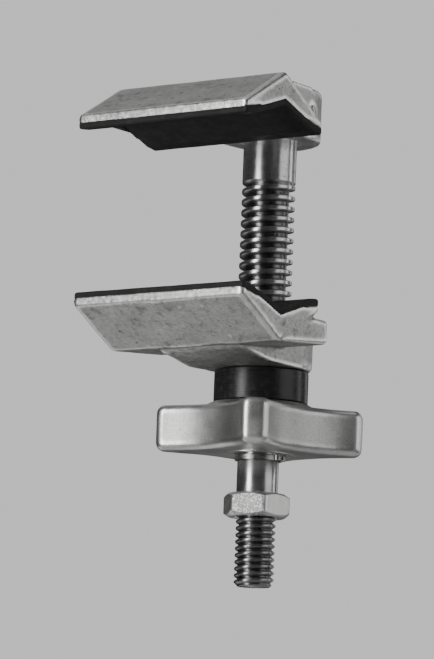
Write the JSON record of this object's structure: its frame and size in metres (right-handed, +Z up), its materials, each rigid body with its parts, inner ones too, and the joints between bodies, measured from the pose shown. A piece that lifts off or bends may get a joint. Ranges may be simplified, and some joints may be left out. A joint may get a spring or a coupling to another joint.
{
  "type": "stud-mounted vee-jaw screw clamp",
  "caption": "Screw clamp with two rubber-faced vee jaws in front of a threaded screw, closed by a star knob, on a threaded mounting stud with a jam nut.",
  "frame": {"origin": "centre of the mounting stud's free end", "axes": "+Z up the screw from the stud to the upper jaw; +X along the vees; the jaws stand out towards -Y"},
  "size_m": [0.0499, 0.064, 0.1187],
  "materials": {
    "cast_aluminium": "tumbled sand casting",
    "knob_aluminium": "satin, bead blasted casting",
    "turned_steel": "bright turned",
    "plated_steel": "zinc plated",
    "spring_steel": "oiled",
    "bronze": "turned",
    "black_plastic": "satin",
    "black_rubber": "matte"
  },
  "bodies": {
    "screw_frame": {"clamp_screw": "turned_steel", "upper_jaw": "cast_aluminium", "upper_jaw_liner": "black_rubber", "jaw_cross_pin": "spring_steel", "stop_ring": "spring_steel"},
    "lower_jaw": {"lower_jaw": "cast_aluminium", "lower_jaw_liner": "black_rubber", "guide_screw": "spring_steel", "thrust_sleeve": "black_plastic", "thrust_washer": "bronze", "retaining_ring": "spring_steel"},
    "knob": {"knob": "knob_aluminium", "knob_nut": "plated_steel"},
    "jam_nut": {"jam_nut": "plated_steel"}
  },
  "joints": [
    {"name": "jaw_slide", "type": "slide", "parent": "screw_frame", "child": "lower_jaw", "axis": [0, 0, 1], "range_m": [0, 0.0375]},
    {"name": "knob_turn", "type": "hinge", "parent": "lower_jaw", "child": "knob", "pos_m": [0, 0, 0.0372], "axis": [0, 0, 1], "range_deg": [0, 5310]},
    {"name": "nut_travel", "type": "slide", "parent": "screw_frame", "child": "jam_nut", "axis": [0, 0, 1], "range_m": [-0.0155, 0]}
  ],
  "couplings": [
    {"joint": "jaw_slide", "follows": "knob_turn", "m_per_rad": 0.00040425}
  ]
}
